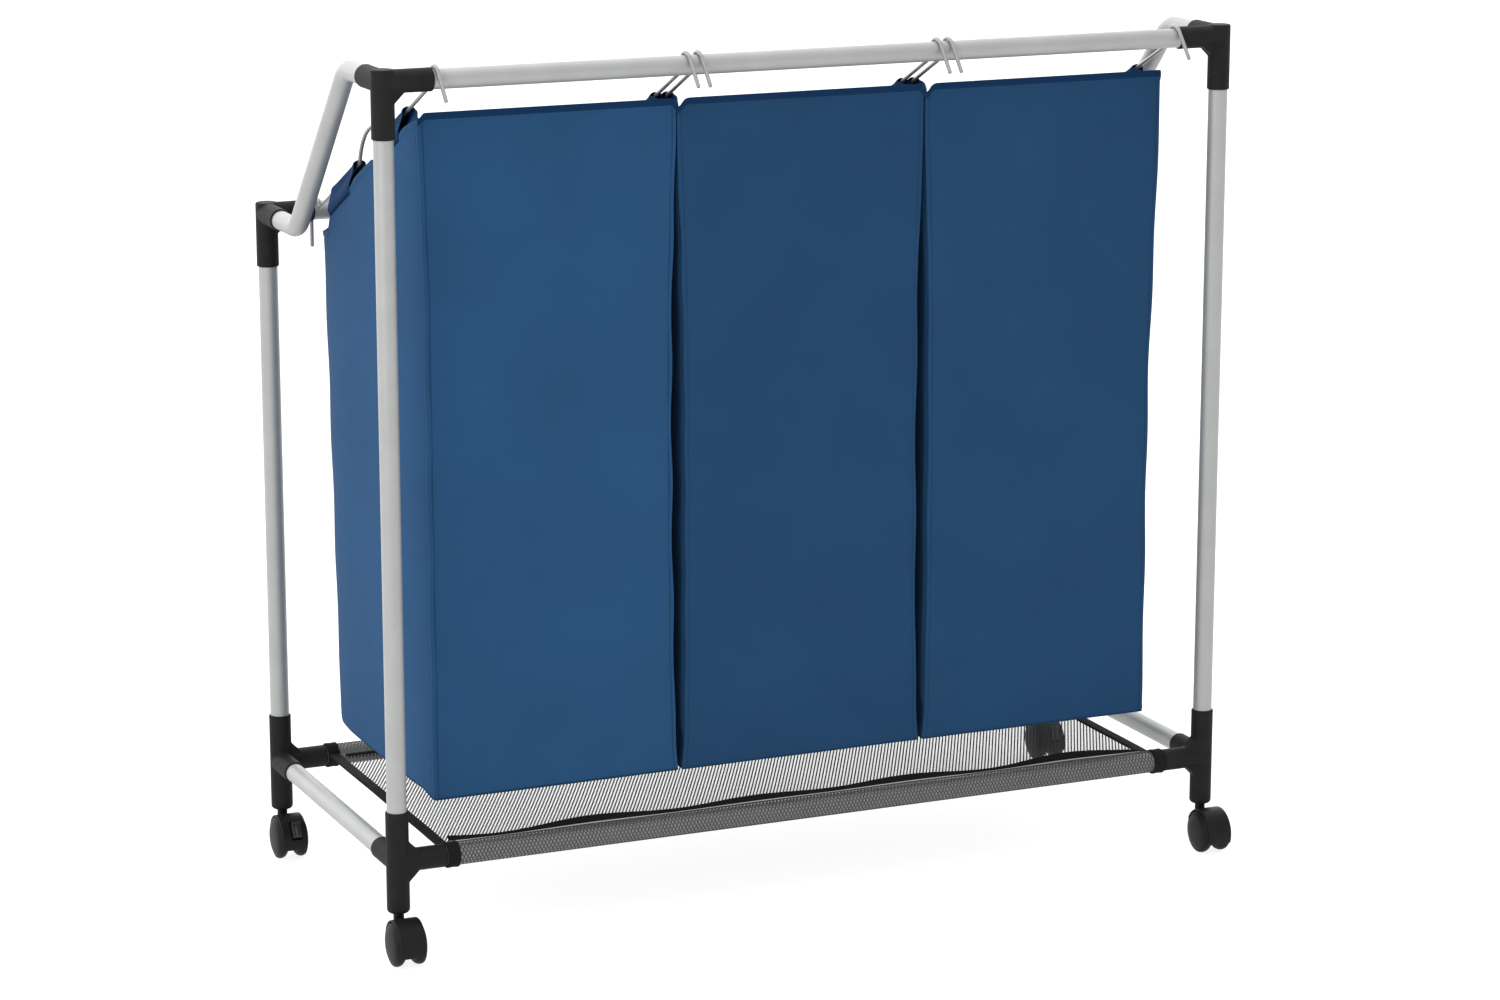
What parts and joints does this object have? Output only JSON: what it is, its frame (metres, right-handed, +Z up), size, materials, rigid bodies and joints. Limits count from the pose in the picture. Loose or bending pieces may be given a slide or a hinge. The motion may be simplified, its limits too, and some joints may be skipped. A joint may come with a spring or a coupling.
{
  "type": "laundry sorter on wheels",
  "caption": "Rolling laundry sorter: open-topped lift-off cloth bags hang from rods across a sloping tube rack with a mesh shelf and twin-wheel swivel casters.",
  "frame": {"origin": "on the floor, at the centre of the whole sorter's footprint", "axes": "+X to the right along the width, +Y from the tall side to the short side, +Z up"},
  "size_m": [0.86, 0.3993, 0.807],
  "materials": {
    "tube_metal": "smooth pale grey paint, satin",
    "corner_plastic": "fine-grained black plastic, matte",
    "shelf_mesh": "open knitted mesh, pale grey",
    "shelf_trim": "black woven binding tape",
    "stem_steel": "plain zinc-grey steel",
    "caster_plastic": "black plastic, slight sheen",
    "wheel_plastic": "black plastic tread and disc, slight sheen",
    "bag_cloth": "plain-woven blue bag cloth, matte",
    "board_plastic": "smooth dark grey sheet",
    "rod_metal": "smooth grey paint, satin"
  },
  "bodies": {
    "frame": {"tall_post_left": "tube_metal", "tall_post_right": "tube_metal", "short_post_left": "tube_metal", "short_post_right": "tube_metal", "top_tube_tall": "tube_metal", "top_tube_short": "tube_metal", "side_bar_left": "tube_metal", "side_bar_right": "tube_metal", "base_tube_tall": "tube_metal", "base_tube_short": "tube_metal", "base_tube_left": "tube_metal", "base_tube_right": "tube_metal", "top_corner_tall_left": "corner_plastic", "top_corner_tall_right": "corner_plastic", "top_corner_short_left": "corner_plastic", "top_corner_short_right": "corner_plastic", "base_corner_tall_left": "corner_plastic", "base_corner_tall_right": "corner_plastic", "base_corner_short_left": "corner_plastic", "base_corner_short_right": "corner_plastic", "mesh_shelf": "shelf_mesh", "shelf_binding": "shelf_trim", "caster_stem_tall_left": "stem_steel", "caster_stem_tall_right": "stem_steel", "caster_stem_short_left": "stem_steel", "caster_stem_short_right": "stem_steel"},
    "bag_left": {"bag_fabric_left": "bag_cloth", "bag_board_left": "board_plastic", "bag_left_rod_a": "rod_metal", "bag_left_rod_b": "rod_metal"},
    "bag_middle": {"bag_fabric_middle": "bag_cloth", "bag_board_middle": "board_plastic", "bag_middle_rod_a": "rod_metal", "bag_middle_rod_b": "rod_metal"},
    "bag_right": {"bag_fabric_right": "bag_cloth", "bag_board_right": "board_plastic", "bag_right_rod_a": "rod_metal", "bag_right_rod_b": "rod_metal"},
    "caster_tall_left": {"caster_body_tall_left": "caster_plastic", "caster_axle_tall_left": "stem_steel"},
    "wheel_tall_left_a": {"wheel_tall_left_a": "wheel_plastic"},
    "wheel_tall_left_b": {"wheel_tall_left_b": "wheel_plastic"},
    "caster_tall_right": {"caster_body_tall_right": "caster_plastic", "caster_axle_tall_right": "stem_steel"},
    "wheel_tall_right_a": {"wheel_tall_right_a": "wheel_plastic"},
    "wheel_tall_right_b": {"wheel_tall_right_b": "wheel_plastic"},
    "caster_short_left": {"caster_body_short_left": "caster_plastic", "caster_axle_short_left": "stem_steel"},
    "wheel_short_left_a": {"wheel_short_left_a": "wheel_plastic"},
    "wheel_short_left_b": {"wheel_short_left_b": "wheel_plastic"},
    "caster_short_right": {"caster_body_short_right": "caster_plastic", "caster_axle_short_right": "stem_steel"},
    "wheel_short_right_a": {"wheel_short_right_a": "wheel_plastic"},
    "wheel_short_right_b": {"wheel_short_right_b": "wheel_plastic"},
    "brake_left": {"brake_lever_left": "caster_plastic"},
    "brake_right": {"brake_lever_right": "caster_plastic"}
  },
  "joints": [
    {"name": "lift_bag_left", "type": "slide", "parent": "frame", "child": "bag_left", "axis": [0, 0, 1], "range_m": [0, 0.7]},
    {"name": "lift_bag_middle", "type": "slide", "parent": "frame", "child": "bag_middle", "axis": [0, 0, 1], "range_m": [0, 0.7]},
    {"name": "lift_bag_right", "type": "slide", "parent": "frame", "child": "bag_right", "axis": [0, 0, 1], "range_m": [0, 0.7]},
    {"name": "swivel_tall_left", "type": "hinge", "parent": "frame", "child": "caster_tall_left", "pos_m": [-0.4135, -0.15815, 0.0423], "axis": [0, 0, 1], "continuous": true},
    {"name": "spin_tall_left_a", "type": "hinge", "parent": "caster_tall_left", "child": "wheel_tall_left_a", "pos_m": [-0.4135, -0.17715, 0.02], "axis": [1, 0, 0], "continuous": true},
    {"name": "spin_tall_left_b", "type": "hinge", "parent": "caster_tall_left", "child": "wheel_tall_left_b", "pos_m": [-0.4135, -0.17715, 0.02], "axis": [1, 0, 0], "continuous": true},
    {"name": "swivel_tall_right", "type": "hinge", "parent": "frame", "child": "caster_tall_right", "pos_m": [0.4135, -0.15815, 0.0423], "axis": [0, 0, 1], "continuous": true},
    {"name": "spin_tall_right_a", "type": "hinge", "parent": "caster_tall_right", "child": "wheel_tall_right_a", "pos_m": [0.4135, -0.17715, 0.02], "axis": [1, 0, 0], "continuous": true},
    {"name": "spin_tall_right_b", "type": "hinge", "parent": "caster_tall_right", "child": "wheel_tall_right_b", "pos_m": [0.4135, -0.17715, 0.02], "axis": [1, 0, 0], "continuous": true},
    {"name": "swivel_short_left", "type": "hinge", "parent": "frame", "child": "caster_short_left", "pos_m": [-0.4135, 0.18585, 0.0423], "axis": [0, 0, 1], "continuous": true},
    {"name": "spin_short_left_a", "type": "hinge", "parent": "caster_short_left", "child": "wheel_short_left_a", "pos_m": [-0.4135, 0.16685, 0.02], "axis": [1, 0, 0], "continuous": true},
    {"name": "spin_short_left_b", "type": "hinge", "parent": "caster_short_left", "child": "wheel_short_left_b", "pos_m": [-0.4135, 0.16685, 0.02], "axis": [1, 0, 0], "continuous": true},
    {"name": "swivel_short_right", "type": "hinge", "parent": "frame", "child": "caster_short_right", "pos_m": [0.4135, 0.18585, 0.0423], "axis": [0, 0, 1], "continuous": true},
    {"name": "spin_short_right_a", "type": "hinge", "parent": "caster_short_right", "child": "wheel_short_right_a", "pos_m": [0.4135, 0.16685, 0.02], "axis": [1, 0, 0], "continuous": true},
    {"name": "spin_short_right_b", "type": "hinge", "parent": "caster_short_right", "child": "wheel_short_right_b", "pos_m": [0.4135, 0.16685, 0.02], "axis": [1, 0, 0], "continuous": true},
    {"name": "press_brake_left", "type": "hinge", "parent": "caster_short_left", "child": "brake_left", "pos_m": [-0.4135, 0.15399, 0.02773], "axis": [1, 0, 0], "range_deg": [0, 9]},
    {"name": "press_brake_right", "type": "hinge", "parent": "caster_short_right", "child": "brake_right", "pos_m": [0.4135, 0.15399, 0.02773], "axis": [1, 0, 0], "range_deg": [0, 9]}
  ]
}
